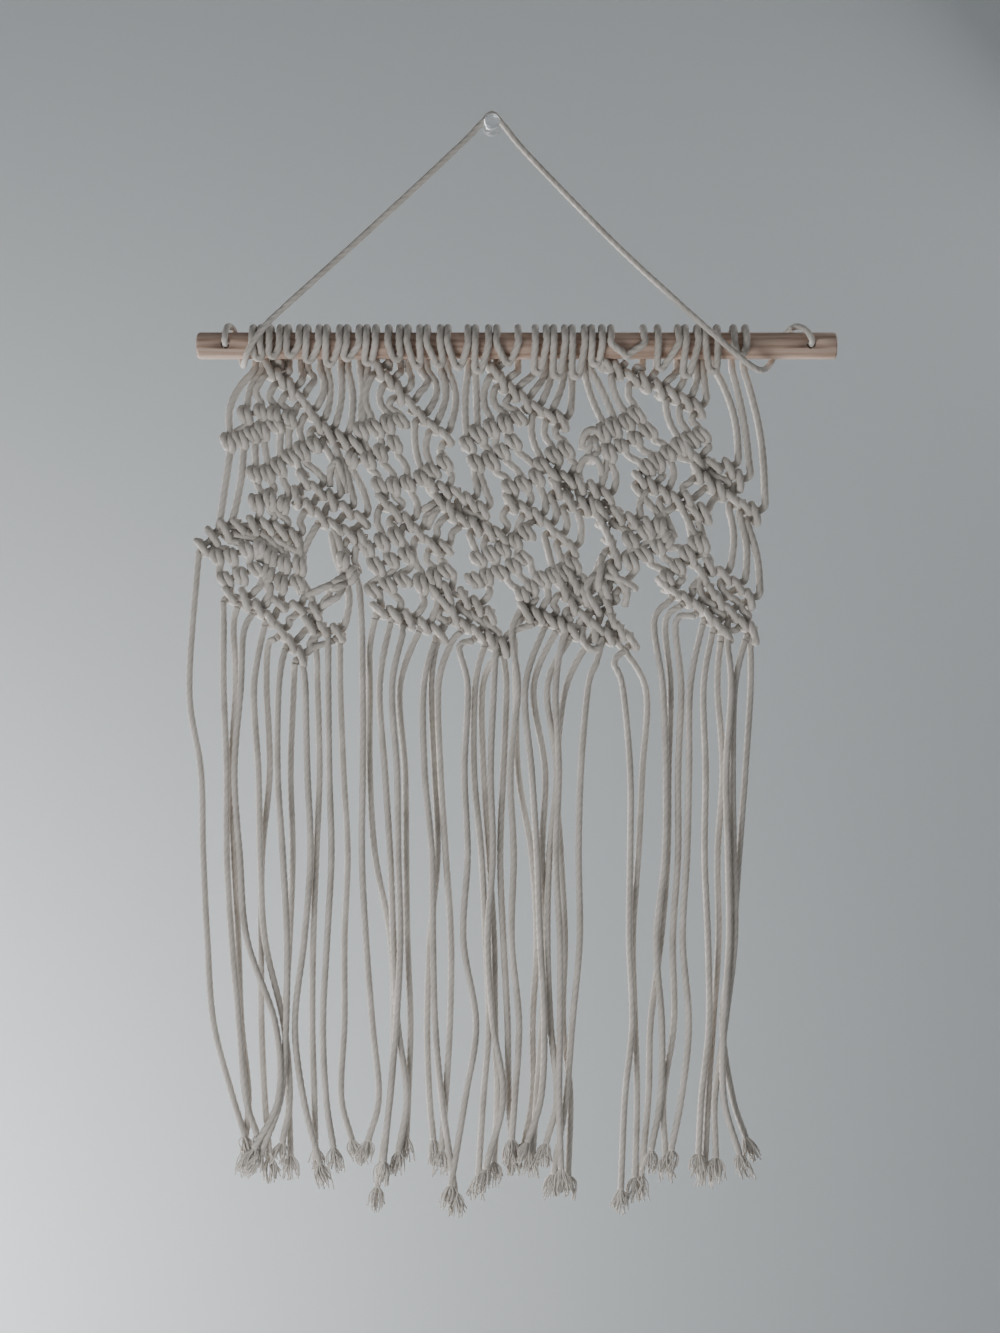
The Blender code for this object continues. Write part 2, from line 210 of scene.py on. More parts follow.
# One hitch of each kind, about its place on the holding cord: across, up and towards the viewer. A falling
# hitch shows one slanted pass in front, and a rising one shows two passes side by side.
HITCHES = {
    "falling": (
        (3.4, 4.6, 0.4), (1.4, 2.0, -2.2), (-1.4, 2.2, -2.0), (-2.6, 3.8, 0.4), (-1.3, 2.2, 2.6),
        (0.8, -1.4, 3.0), (2.1, -3.8, 1.2), (0.9, -3.6, -1.4), (-1.2, -2.2, -2.2), (-2.8, -4.2, -0.2),
    ),
    "rising": (
        (0.2, 5.6, -0.2), (-2.2, 3.9, 0.8), (-1.9, 1.2, 2.6), (-0.2, -2.0, 2.4), (0.6, -3.2, 0.2),
        (0.3, -0.6, -2.2), (-0.3, 2.8, -1.4), (0.6, 3.7, 1.4), (1.8, 1.2, 3.0), (3.1, -1.8, 2.6),
        (3.1, -4.2, 1.0), (2.3, -5.8, 0.2),
    ),
}
NOMINAL_SLOPE = {"falling": radians(-35), "rising": radians(18)}
TURN_SHARE = 0.55
HITCH_HEIGHT = {"falling": 0.95, "rising": 0.74}

# How much one hitch differs from the next: its turn, its height, its size and its place
TURN_SPREAD = 0.25
HEIGHT_RANGE = (0.85, 1.15)
SIZE_RANGE = (0.88, 1.06)
PLACE_SPREAD = 0.3
DEPTH_SPREAD = 0.2

# Cords between hitches: count of them side by side, from the first place of one row to the first place of
# another. A bow bends a cord to the right.
LINK_COLUMNS = ("row", "place", "to_row", "to_place", "count", "bow")
LINKS = (
    ("A1", 0, "B1", 1, 3, -3), ("A1", 3, "C1", 3, 3, -1.5), ("A1", 6, "E1", 2, 1, 2),
    ("A1", 7, "E1", 3, 1, 1), ("A1", 8, "C2", 0, 1, 1), ("B1", 0, "Y1", 1, 4, 0.5), ("Y1", 0, "G1", 1, 1, 0),
    ("Y1", 1, "G1", 2, 1, 1), ("Y1", 2, "C1", 0, 3, 0),
    ("C1", 0, "G1", 6, 1, -2), ("C1", 1, "D1", 1, 2, 1), ("C1", 3, "E1", 0, 2, 1),
    ("E1", 0, "F1", 0, 5, 0), ("G1", 0, "H1", 0, 7, 0), ("H1", 0, "I1", 0, 4, 0),
    ("A2", 0, "B2", 1, 3, -3), ("A2", 4, "D2", 3, 3, -1.5), ("B2", 0, "C2", 1, 3, 0),
    ("C2", 1, "D2", 0, 2, 1),
    ("D2", 0, "G2", 0, 2, 0), ("D2", 5, "E2", 1, 1, 1), ("B3", 0, "E2", 3, 1, 0), ("C3", 0, "E2", 4, 1, 0),
    ("E2", 0, "F2", 0, 3, 0), ("G2", 3, "K2", 0, 3, -2), ("H2", 0, "I2", 0, 2, 0), ("I2", 0, "J2", 0, 2, 0),
    ("M2", 0, "O2", 0, 5, 0), ("E2", 3, "F2", 3, 2, 0),
    ("A3", 0, "B3", 2, 3, -3), ("A3", 4, "D3", 3, 3, -2), ("B3", 1, "C3", 1, 3, 1), ("C3", 1, "D3", 0, 3, 1),
    ("D3", 0, "P3", 0, 3, 1), ("E3", 0, "F3", 0, 5, 0), ("F3", 0, "P3", 3, 3, 1), ("F3", 4, "H4", 0, 2, 0),
    ("F2", 3, "Q3", 0, 3, 0), ("P3", 1, "Q3", 3, 1, 0), ("Q3", 0, "R3", 1, 4, 0), ("R3", 2, "W3", 0, 3, 0),
    ("P3", 3, "W3", 3, 3, 0),
    ("A4", 1, "B4", 2, 2, -1.5), ("A4", 5, "D4", 3, 3, -1.5), ("B4", 1, "C4", 1, 3, 0),
    ("C4", 1, "D4", 0, 3, 1),
    ("D4", 3, "E4", 0, 1, 0), ("E4", 0, "F4", 0, 3, 0), ("F4", 3, "M4", 1, 3, 2), ("G4", 0, "H4", 2, 1, 0),
    ("G4", 2, "H4", 3, 1, 0), ("J4", 0, "K4", 0, 1, 0), ("J4", 2, "K4", 1, 1, 0), ("H4", 1, "I4", 1, 2, 0),
    ("H4", 3, "Q4", 2, 1, 0), ("I4", 1, "Q4", 0, 2, 0),
)

# Short loops and slack cords that belong to no row, each as its points
LOOSE_CORDS = (
    (
        (43, -156, -1), (43.5, -151, 1.5), (46, -147.5, 2.5), (50, -147.5, 2.5), (53, -151, 1.5),
        (53.5, -155, -1),
    ),
    (
        (41.5, -171, -1), (42, -165, 1.5), (45, -160.5, 2.5), (49, -160.8, 2.5), (52, -165, 1.5),
        (53, -171, -1),
    ),
    ((46, -150, -2), (47.5, -153, 2), (46, -157, 2.4), (47.5, -160, 1), (49, -162, -2)),
    ((50, -150, -2), (49, -153, 2.2), (50.5, -157, 1.6), (48.5, -160, 2.2), (46, -162, -2)),
    ((52, -216, -1), (48, -217.5, 2), (45.2, -222.5, 3), (47, -228, 3), (51, -230, 1), (53, -228, -2)),
    ((52.5, -207, 0), (52, -213, 2.6), (51, -219, 3.2), (51, -224, 1)),
    ((54, -216.5, 1), (60, -218, 3), (66, -221, 3), (69, -223, 0)),
    ((64, -219, 2), (64.5, -225, 2.6), (63.5, -231, 0)),
    ((43.5, -241, 0), (43.5, -247, 2.4), (47, -251.5, 3), (51, -251, 3), (52.5, -246, 1)),
    ((49, -240, 1), (49.5, -245, 3), (49, -249, 2)),
    ((-77.5, -174, -1), (-77, -166, 1), (-74.2, -162.5, 2), (-72, -167, 1.5), (-69, -177, -1)),
    ((-92, -198, -1), (-91.5, -205.5, 1), (-92, -213, 0), (-93.5, -219.5, 1), (-91.5, -225, -1)),
    ((-112, -215, -1), (-106.5, -220, 1), (-106, -225, 1), (-110, -231, -1)),
    ((-76, -194, -1), (-73, -200, 1), (-71, -208, 1), (-68, -217, -1)),
    ((-90, -226.5, -1), (-85, -224.5, 2), (-78, -221.5, 2), (-71, -219, -1)),
    ((-83, -233, -1), (-79, -230, 2), (-73.5, -226.5, 2), (-70.5, -220, -1)),
    ((-33, -185, -1), (-30, -183.5, 2), (-25, -180, -1)),
    ((-25, -184, 1), (-28, -188, 2), (-31, -194, -1)),
)

# Fringe strands: where each leaves the net, how far across it hangs at each of the fringe's levels, its foot,
# and how far in front of the net's middle it hangs
FRINGE_LEVELS = (-270, -310, -350, -390, -430, -465)
FRINGE_COLUMNS = ("top", "top_z", "levels", "foot", "foot_z", "front")
STRAND_SPREAD = 0.8
FRINGE = (
    (-140, -206, (-144.5, -139, -138, -136, -133, -124), -118, -492, 0),
    (-128, -238, (-128, -126.5, -126.5, -124, -120.5, -117.5), -112, -491, 2),
    (-123.5, -242, (-122.5, -125, -123.5, -121.5, -120, -116.5), -118.5, -500, -2),
    (-118.5, -245, (-119.5, -122.5, -120, -116.5, -103, -101.5), -113, -497, 4.5),
    (-113, -242, (-113.5, -111.5, -110.5, -108.5, -99.5, -96.5), -100, -495, 0.5),
    (-107, -250, (-108, -106.5, -110, -110.5, -110.5, -109), -106.5, -503, -3),
    (-99.5, -254, (-101.5, -102, -99.5, -97.5, -98, -100.5), -110, -500, 3),
    (-94.5, -254, (-95, -96.5, -95.5, -97, -99, -97.5), -96.5, -502, -3.5),
    (-89.5, -254, (-89, -88, -86.5, -89.5, -94, -90), -82, -505, 1.5),
    (-84, -252, (-83.5, -82.5, -84, -85.5, -86, -85), -84.5, -498, -2),
    (-78, -247, (-78, -77.5, -76.5, -78.5, -80.5, -79), -75.5, -497, 2.5),
    (-72.5, -245, (-72.5, -71, -69, -70.5, -70.5, -72), -67, -494, -1),
    (-63.5, -221, (-61.5, -61.5, -62, -60, -57, -54), -59, -494, 2),
    (-58.5, -252, (-58.5, -58.5, -56, -48.5, -47, -48.5), -55, -517, -3),
    (-48, -242, (-53.5, -51, -48.5, -47, -45, -40.5), -44.5, -499, 1.5),
    (-42.5, -244, (-47.5, -45, -44.5, -43.5, -45.5, -48.5), -51.5, -503, 4.5),
    (-35.5, -244, (-44, -41.5, -41, -40.5, -39, -40), -41, -493, -2),
    (-31.5, -247, (-32.5, -32, -28.5, -28, -27, -24), -17.5, -518, 2.5),
    (-26.5, -250, (-29, -27.5, -26, -29.5, -31, -30), -28, -494, -2.5),
    (-20, -250, (-25.5, -24.5, -22, -19.5, -20, -22), -24, -499, 0),
    (-15.5, -251, (-11.5, -13, -11.5, -13.5, -7.5, -12.5), -19.5, -515, 3),
    (-8.5, -248, (-8, -8.5, -5, -3, -1.5, -4), -6.5, -511, 0),
    (-4, -247, (-4.5, -4, -1.5, 1, 1.5, 2.5), 1, -505, -3),
    (2, -250, (1, -0.5, 0.5, -2, 0.5, 5.5), -3, -507, 3.5),
    (6, -247, (7, 5.5, 4, 5.5, 7.5, 8), 10, -500, -1),
    (9.5, -244, (12.5, 9, 10.5, 9.5, 13, 11), 9.5, -493, 2.5),
    (11, -252, (11.5, 12.5, 19, 21.5, 19.5, 19.5), 15.5, -496, -3.5),
    (18.5, -239, (16, 19, 21.5, 23, 25, 23.5), 17, -494, 4),
    (25.5, -242, (20, 25.5, 24, 26, 24, 21.5), 19.5, -500, -0.5),
    (29.5, -243, (26.5, 31, 27.5, 26.5, 28, 31), 26, -495, 1.5),
    (35, -244, (30.5, 32, 30.5, 32.5, 32.5, 32), 33, -507, 4),
    (41, -243, (35.5, 31, 33, 35, 34, 37.5), 36.5, -511, -2.5),
    (50, -258, (46, 42.5, 41.5, 42, 38.5, 35.5), 29.5, -510, 1.5),
    (58.5, -258, (62.5, 66, 66, 65.5, 67, 63.5), 61.5, -517, 2.5),
    (66.5, -245, (73.5, 72, 70, 67.5, 68.5, 69.5), 68.5, -512, -1.5),
    (77.5, -239, (81.5, 83, 82.5, 78.5, 81, 80.5), 76, -498, 3),
    (83, -239, (85.5, 84.5, 84, 81, 76, 75), 71.5, -511, -1.5),
    (88, -239, (90.5, 89, 89, 86.5, 87, 82), 83, -502, 0.5),
    (92.5, -240, (94.5, 94, 93, 91, 94, 90.5), 85.5, -498, 3.5),
    (100, -240, (101, 102, 101.5, 103, 103.5, 100), 98.5, -500, 2.5),
    (107, -243, (108, 110.5, 108, 108.5, 106, 103.5), 102, -505, -1.5),
    (112.5, -246, (114, 111.5, 112.5, 113, 110.5, 110.5), 118, -500, 4),
    (117.5, -243, (116, 115, 115.5, 116, 111.5, 106.5), 107, -502, 1),
    (123.5, -245, (124, 121.5, 118.5, 115.5, 110.5, 115), 121.5, -493, -2.5),
)

# Hanger cord: its route from the left hole, over the pin, to the right hole
HANGER_ROUTE = (
    (-126.6, -11.0, -107.0), (-126.6, -15.5, -107.0), (-126.5, -19.4, -104.9), (-125.8, -15.4, -98.9),
    (-124.0, -7.6, -98.3), (-122.3, -2.2, -104.2), (-120.4, -3.2, -111.8), (-118.7, -9.6, -116.1),
    (-117.4, -17.4, -115.9), (-115.2, -22.2, -111.4), (-111.8, -23.3, -105.6), (-106.2, -21.6, -98.0),
    (-98.6, -19.4, -90.2), (-63.0, -13.6, -56.6), (-17.2, -7.6, -12.6), (-5.6, -5.8, -0.4),
    (0.1, -5.5, 4.8), (6.0, -5.8, -1.0), (18.0, -7.6, -15.8), (58.0, -13.8, -58.2),
    (88.0, -19.2, -87.2), (99.0, -22.2, -97.8), (107.0, -23.4, -105.2), (116.4, -23.6, -113.4),
    (123.6, -21.8, -118.6), (129.2, -14.6, -119.0), (133.4, -5.8, -114.9), (137.4, -1.9, -107.2),
    (141.6, -4.6, -99.9), (145.4, -11.4, -97.8), (149.2, -17.8, -100.6), (151.5, -19.5, -105.0),
    (151.7, -15.5, -107.0), (151.7, -11.0, -107.0),
)

# Push pin: (radius, distance in front of the wall) down the outer side, front to back
PIN_PROFILE = (
    (0, 13.0), (2.6, 13.0), (3.7, 12.2), (3.9, 10.6), (2.5, 8.8), (2.3, 4.0), (3.2, 2.2), (4.6, 1.6),
    (4.8, 0), (0, 0),
)
PIN_SIDES = 40

# Camera: level, square on to the wall
CAMERA_X = 0.0039
CAMERA_Z = -0.26
CAMERA_DISTANCE = 1.15
FRAME_HEIGHT = 0.642

# Stage and lights. The lights aim at the middle of the hanging.
STAGE_SIZE = 12
FLOOR_COLOUR = (0.78, 0.79, 0.79)
BACKDROP_COLOUR = (0.335, 0.355, 0.365)
STAGE_ROUGHNESS = 0.9
MIDDLE = (0, 0, -0.25)
BACKDROP_SPOT = (-0.25, 1.6, -0.4)
SKY_COLOUR = (0.86, 0.90, 0.93, 1)
SKY_STRENGTH = 0.22

# Cotton's tone from dark to light in the cords, where the dark end also holds the painted shade of the ply
# valleys, and in the feet a lighter copy: painted light that offsets the shade among their fibres
CORD_COLOURS = ((0.47, 0.425, 0.38), (0.74, 0.69, 0.635))
FOOT_COLOURS = ((0.68, 0.62, 0.56), (0.85, 0.8, 0.74))

# How far a cord may lead to the nearest free hitch below it, and its bow
LEAST_DROP = 0.5
MOST_DROP = 24.0
MOST_SHIFT = 9.0
NEAR_BOW = 1.5

# A cord between two hitches: the least drop that gets points of its own, their spacing and their depth's
# spread
LEAST_LINK = 3.0
LINK_SPACING = 9
DRIFT = 0.5

# A holding cord runs on past its row by this much, and goes back into the net by this much
OVERRUN = 2
TUCKED = 2.6

# How near a cord's end is for a fringe strand to go on from it, and how far below the end the strand's own
# top still counts. A strand with no cord near starts this far above its top and behind it.
MOST_REACH = 16.0
LEAST_REACH = 3.0
HIDDEN_START = (0, 5, -3)
FRINGE_STEP = 1.2

chance = random.Random(22)


def rows(table, columns):
    """The rows of a table as dictionaries, by column name."""
    return [dict(zip(columns, row)) for row in table]


def smooth_route(points, step):
    """A Catmull-Rom curve through the points, with a point about every step of its length."""
    padded = [points[0] * 2 - points[1], *points, points[-1] * 2 - points[-2]]
    route = []
    for before, start, end, after in zip(padded, padded[1:], padded[2:], padded[3:]):
        count = max(1, round((end - start).length / step))
        for number in range(count):
            t = number / count
            route.append(
                0.5 * (2 * start + (end - before) * t
                       + (2 * before - 5 * start + 4 * end - after) * t ** 2
                       + (3 * start - before - 3 * end + after) * t ** 3)
            )
    return [*route, points[-1]]


def at(across, up, front=0.0):
    """A place from millimetres across, up and in front of the net's middle."""
    return Vector((across * MM, NET_Y - front * MM, up * MM))


def offset(across, up, front=0.0):
    """A step of this many millimetres across, up and to the front."""
    return at(across, up, front) - at(0, 0)


def ring_frames(route):
    """Two directions across the route at each of its points, carried along it without twisting."""
    places = np.array([tuple(place) for place in route])
    along = np.gradient(places, axis=0)
    along /= np.linalg.norm(along, axis=1)[:, None]
    side = np.cross(along[0], FIRST_SIDE)
    sides = []
    for direction in along:
        side = side - direction * side.dot(direction)
        side = side / np.linalg.norm(side)
        sides.append(side)
    sides = np.array(sides)
    return places, sides, np.cross(along, sides)


def cord_surface(route, radius, phase, ring_sides):
    """Points, faces and map of a three-ply cord along a route.

    Its rings turn with the plies, so the valleys between them stay sharp. One unit of the map is once round
    the cord, both across and along it.
    """
    places, sides, others = ring_frames(route)
    lengths = np.concatenate(([0.0], np.cumsum(np.linalg.norm(np.diff(places, axis=0), axis=1))))
    turn = phase + 2 * pi * lengths[:, None] / (TWIST_PITCH * MM)
    angle = 2 * pi * np.arange(ring_sides)[None, :] / ring_sides
    ply = 1 + PLY_DEPTH * (2 * np.abs(np.sin(PLIES * angle / 2)) - 1)
    across = radius * ply * np.cos(angle + turn)
    upward = radius * ply * np.sin(angle + turn)
    points = (
        places[:, None, :] + across[..., None] * sides[:, None, :] + upward[..., None] * others[:, None, :]
    )
    faces, corners = tube_faces(len(route), ring_sides, lengths / (2 * pi * radius))
    return points.reshape(-1, 3), faces, corners


def tube_faces(count, ring_sides, along):
    """The faces of a closed tube of count rings, and the map's place at each corner of each face."""
    first = np.arange(count - 1)[:, None] * ring_sides
    side = np.arange(ring_sides)[None, :]
    following = (side + 1) % ring_sides
    above = first + ring_sides
    quads = np.stack((first + side, first + following, above + following, above + side), axis=-1)
    faces = quads.reshape(-1, 4).tolist()
    faces.append(list(range(ring_sides))[::-1])
    faces.append([(count - 1) * ring_sides + number for number in range(ring_sides)])
    corners = np.zeros((count - 1, ring_sides, 4, 2))
    corners[..., 0] = (np.arange(ring_sides)[None, :, None] + np.array((0, 1, 1, 0))) / ring_sides
    corners[..., 1] = np.stack((along[:-1], along[:-1], along[1:], along[1:]), axis=-1)[:, None, :]
    ends = np.zeros((2 * ring_sides, 2))
    return faces, np.concatenate((corners.reshape(-1, 2), ends))


def cord_piece(name, routes, material, radius=CORD_RADIUS, ring_sides=SIDES):
    """One mesh of several cords, with its map."""
    points = []
    faces = []
    places = []
    made = 0
    for route in routes:
        more, shape, corners = cord_surface(route, radius, chance.uniform(0, 2 * pi), ring_sides)
        points.append(more)
        faces.extend([[made + corner for corner in face] for face in shape])
        places.append(corners + chance.uniform(0, MAP_SHIFT))
        made += len(more)
    mesh = bpy.data.meshes.new(name)
    mesh.from_pydata(np.concatenate(points).tolist(), [], faces)
    layer = mesh.uv_layers.new(name=CORD_MAP)
    layer.uv.foreach_set("vector", np.concatenate(places).astype(np.float32).ravel())
    mesh.shade_smooth()
    mesh.materials.append(material)
    piece = bpy.data.objects.new(name, mesh)
    bpy.context.scene.collection.objects.link(piece)
    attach(piece, BODY)
    return piece


def wrap_point(x, angle):
    """A place on the wrap round the dowel: 0 is behind it, 90 degrees on top and 180 in front."""
    return Vector((x, DOWEL_Y + WRAP_RADIUS * cos(angle), DOWEL_Z + WRAP_RADIUS * sin(angle)))


def knot_route(knot):
    """A folded cord: both ends rise behind the dowel, go over it, and meet in a loop that hangs in front."""
    left, right, tip, low = (knot[column] * MM for column in KNOT_COLUMNS)
    loop_low = low + CORD_RADIUS
    loop_side_z = loop_low + LOOP_HALF_WIDTH
    below_axis = min(DOWEL_Z - loop_side_z, WRAP_RADIUS)
    loop_y = DOWEL_Y - max(sqrt(WRAP_RADIUS ** 2 - below_axis ** 2), LOOP_NEAREST)
    over = [pi * step / WRAP_STEPS for step in range(WRAP_STEPS + 1)]
    return [
        *(wrap_point(left, angle) for angle in over),
        Vector((tip - LOOP_HALF_WIDTH, loop_y, loop_side_z)),
        Vector((tip, loop_y, loop_low)),
        Vector((tip + LOOP_HALF_WIDTH, loop_y, loop_side_z)),
        *(wrap_point(right, angle) for angle in reversed(over)),
    ]


def row_places(row):
    """The places of a row's hitches, evenly along a smooth line, and the line's slope at each."""
    points = [at(*point) for point in row["points"]]
    line = smooth_route(points, ROW_STEP * MM)
    lengths = [0.0]
    for start, end in zip(line, line[1:]):
        lengths.append(lengths[-1] + (end - start).length)
    found = []
    for number in range(row["count"]):
        target = lengths[-1] * number / (row["count"] - 1)
        index = min(range(len(lengths)), key=lambda place: abs(lengths[place] - target))
        before = line[max(index - SLOPE_REACH, 0)]
        after = line[min(index + SLOPE_REACH, len(line) - 1)]
        direction = Vector((after.x - before.x, after.z - before.z))
        found.append((line[index], direction.angle_signed(Vector((1, 0)))))
    return found


def hitch(kind, place, slope):
    """The route of one hitch about its place, turned partly with its row."""
    turn = TURN_SHARE * min(slope - NOMINAL_SLOPE[kind], 0) + chance.uniform(-TURN_SPREAD, TURN_SPREAD)
    squeeze = Matrix.Diagonal((1, 1, HITCH_HEIGHT[kind] * chance.uniform(*HEIGHT_RANGE)))
    spin = Matrix.Rotation(-turn, 3, "Y") @ squeeze * chance.uniform(*SIZE_RANGE)
    spreads = (PLACE_SPREAD, PLACE_SPREAD, DEPTH_SPREAD)
    shift = offset(*(chance.uniform(-spread, spread) for spread in spreads))
    return [place + spin @ offset(*point) + shift for point in HITCHES[kind]]


def link_points(start, end, bow):
    """The points of a cord between two hitches, bent to one side and a little in depth."""
    span = end - start
    count = max(1, round(span.length / (LINK_SPACING * MM)))
    drift = chance.uniform(-DRIFT, DRIFT)
    made = []
    for number in range(1, count + 1):
        share = number / (count + 1)
        bend = offset(bow * sin(pi * share), 0, drift * sin(pi * share))
        made.append(start + span * share + bend)
    return made


def place_hitches():
    """The route of every hitch, by its row's name and its number in the row."""
    hitches = {}
    for row in rows(ROWS, ROW_COLUMNS):
        for number, (place, slope) in enumerate(row_places(row)):
            hitches[row["name"], number] = hitch(row["kind"], place, slope)
    return hitches


def leg_starts():
    """By the hitch or holding cord that each leg of the knots leads to: the leg's top and its bow."""
    starts = {}
    ends_x = [knot[side] for knot in rows(KNOTS, KNOT_COLUMNS) for side in ("left", "right")]
    for x, leg in zip(ends_x, rows(LEGS, LEG_COLUMNS)):
        top = [wrap_point(x * MM, 0), Vector((x * MM, CORD_END_Y, CORD_END_Z))]
        starts[leg["row"], leg["place"]] = (top, leg["bow"])
    return starts


def named_links():
    """The hitch that follows each hitch along its cord, and the bow between them, from the table."""
    following = {}
    for link in rows(LINKS, LINK_COLUMNS):
        for number in range(link["count"]):
            start = (link["row"], link["place"] + number)
            following[start] = ((link["to_row"], link["to_place"] + number), link["bow"])
    return following


def near_links(hitches, following, starts):
    """Leads each cord that the table leaves free to the nearest free hitch below it."""
    reached = {stop for stop, bow in following.values()} | set(starts)
    pairs = []
    for start in hitches:
        for stop in hitches:
            if start in following or stop in reached or start[0] == stop[0]:
                continue
            step = (hitches[stop][0] - hitches[start][-1]) / MM
            if -MOST_DROP < step.z < -LEAST_DROP and abs(step.x) < MOST_SHIFT:
                pairs.append((step.length + abs(step.x), start, stop))
    for cost, start, stop in sorted(pairs):
        if start not in following and stop not in reached:
            following[start] = (stop, NEAR_BOW if KINDS[start[0]] == "rising" else -NEAR_BOW)
            reached.add(stop)


def joined(route, hitch_route, bow):
    """A route led on into the next hitch. Where the two are close, the cord turns straight into it."""
    if route[-1].z - hitch_route[0].z > LEAST_LINK * MM:
        return route + link_points(route[-1], hitch_route[0], bow) + hitch_route
    middle = (route[-1] + hitch_route[1]) / 2
    return [*route[:-1], middle, *hitch_route[1:]]


def net_routes(hitches, following, starts):
    """Every working cord of the net as its points, by its last hitch. Some start inside the net."""
    reached = {stop for stop, bow in following.values()}
    routes = {}
    for first in hitches:
        if first in reached:
            continue
        route = []
        if first in starts:
            top, bow = starts[first]
            route += [*top, *link_points(top[-1], hitches[first][0], bow), *hitches[first]]
        else:
            route += hitches[first][1:]
        place = first
        while place in following:
            place, bow = following[place]
            route = joined(route, hitches[place], bow)
        routes[place] = route
    return routes


def holding_routes(starts):
    """The holding cord of every row, straight through its hitches."""
    made = {}
    for row in rows(ROWS, ROW_COLUMNS):
        line = [place for place, slope in row_places(row)]
        lead = (line[0] - line[1]).normalized()
        tail = (line[-1] - line[-2]).normalized()
        head = [line[0] + lead * OVERRUN * MM + offset(0, 0, -TUCKED)]
        if (row["name"], HOLDING) in starts:
            head = starts[row["name"], HOLDING][0]
        end = [line[-1] + tail * OVERRUN * MM + offset(0, 0, -TUCKED)]
        made[row["name"]] = smooth_route([*head, *line, *end], RING_STEP * MM)
    return made


def strand_points(strand):
    """The points of one strand of the fringe, from its top to where its foot frays."""
    points = [at(strand["top"], strand["top_z"], strand["front"] / 2)]
    for across, up in zip(strand["levels"], FRINGE_LEVELS):
        points.append(at(across, up, strand["front"] + chance.uniform(-STRAND_SPREAD, STRAND_SPREAD)))
    points.append(at(strand["foot"], strand["foot_z"] + TUFT_LENGTH * FOOT_INSIDE, strand["front"]))
    return points


def hang_fringe(routes):
    """Smooth lines of the net's cords and of the fringe.

    A strand goes on from the nearest free cord's end, or starts behind the net where none is near.
    """
    net_lines = {}
    fringe_lines = []
    free = set(routes)
    for strand in rows(FRINGE, FRINGE_COLUMNS):
        points = strand_points(strand)
        near = min(free, key=lambda place: ((routes[place][-1] - points[0]).length, place))
        end = routes[near][-1]
        if (end - points[0]).length > MOST_REACH * MM:
            start = points[0] + at(*HIDDEN_START) - at(0, 0)
            fringe_lines.append(smooth_route([start, *points], FRINGE_STEP * MM))
            continue
        free.discard(near)
        if end.z - points[0].z < LEAST_REACH * MM:
            points = points[1:]
        line = smooth_route([*routes[near], *points], RING_STEP * MM)
        cut = min(range(len(line)), key=lambda index: (line[index] - end).length)
        net_lines[near] = line[:cut + 1]
        fringe_lines.append(line[cut:])
    for place in free:
        net_lines[place] = smooth_route(routes[place][:-1], RING_STEP * MM)
    return net_lines, fringe_lines


def tuft_lines(line):
    """The loose fibres at the foot of one strand."""
    foot = line[-1]
    down = (foot - line[-6]).normalized()
    made = []
    for _ in range(TUFT_FIBRES):
        turn = chance.uniform(0, 2 * pi)
        out = Vector((cos(turn), FOOT_DEPTH * sin(turn), 0)) * sqrt(chance.uniform(0.02, 1))
        reach = chance.uniform(*REACH_RANGE) * TUFT_LENGTH * MM
        spread = out * TUFT_SPREAD * MM
        curl = Vector((chance.uniform(-1, 1), chance.uniform(-0.6, 0.6), 0)) * MM
        start = foot + out * CORD_RADIUS * FOOT_INSIDE
        points = [start - down * 2 * MM, start, start + down * reach * 0.4 + spread * 0.7 + curl,
                  start + down * reach + spread - curl]
        made.append(smooth_route(points, FIBRE_STEP * MM))
    return made


def new_material(name):
    """A named material with its nodes, its links and its shader."""
    material = bpy.data.materials.new(name)
    material.use_nodes = True
    nodes = material.node_tree.nodes
    return material, nodes, material.node_tree.links, nodes["Principled BSDF"]


def noise(nodes, links, vector, scale, detail):
    """A noise pattern read at a vector."""
    pattern = nodes.new("ShaderNodeTexNoise")
    pattern.inputs["Scale"].default_value = scale
    pattern.inputs["Detail"].default_value = detail
    links.new(vector, pattern.inputs["Vector"])
    return pattern.outputs["Fac"]


def stretched(nodes, links, vector, scale, turn=0.0):
    """A vector scaled by its own amount each way, and turned about its third direction."""
    stretch = nodes.new("ShaderNodeMapping")
    stretch.inputs["Scale"].default_value = scale
    stretch.inputs["Rotation"].default_value = (0, 0, turn)
    links.new(vector, stretch.inputs["Vector"])
    return stretch.outputs["Vector"]


def sum_of(nodes, links, first, second, share):
    """The first value, and a share of the second added to it."""
    total = nodes.new("ShaderNodeMath")
    total.operation = "MULTIPLY_ADD"
    total.inputs[1].default_value = share
    links.new(second, total.inputs[0])
    links.new(first, total.inputs[2])
    return total.outputs[0]


def ramp(nodes, links, value, stops):
    """A colour for a value, from (position, colour) stops."""
    shade = nodes.new("ShaderNodeValToRGB")
    for element, (position, colour) in zip(shade.color_ramp.elements, stops):
        element.position = position
        element.color = (*colour, 1)
    links.new(value, shade.inputs["Fac"])
    return shade.outputs["Color"]


def bumped(nodes, links, shader, height, strength, distance):
    """Raises the shader's surface by a height pattern."""
    bump = nodes.new("ShaderNodeBump")
    bump.inputs["Strength"].default_value = strength
    bump.inputs["Distance"].default_value = distance
    links.new(height, bump.inputs["Height"])
    links.new(bump.outputs["Normal"], shader.inputs["Normal"])


def ply_height(nodes, links, vector):
    """0 in the valleys between a cord's plies and 1 on top of them, from the cord's own map."""
    parts = nodes.new("ShaderNodeSeparateXYZ")
    links.new(vector, parts.inputs["Vector"])
    value = parts.outputs["X"]
    for operation, amount in (("MULTIPLY", PLIES * pi), ("SINE", 0), ("ABSOLUTE", 0), ("POWER", 0.6)):
        step = nodes.new("ShaderNodeMath")
        step.operation = operation
        step.inputs[1].default_value = amount
        links.new(value, step.inputs[0])
        value = step.outputs[0]
    return value


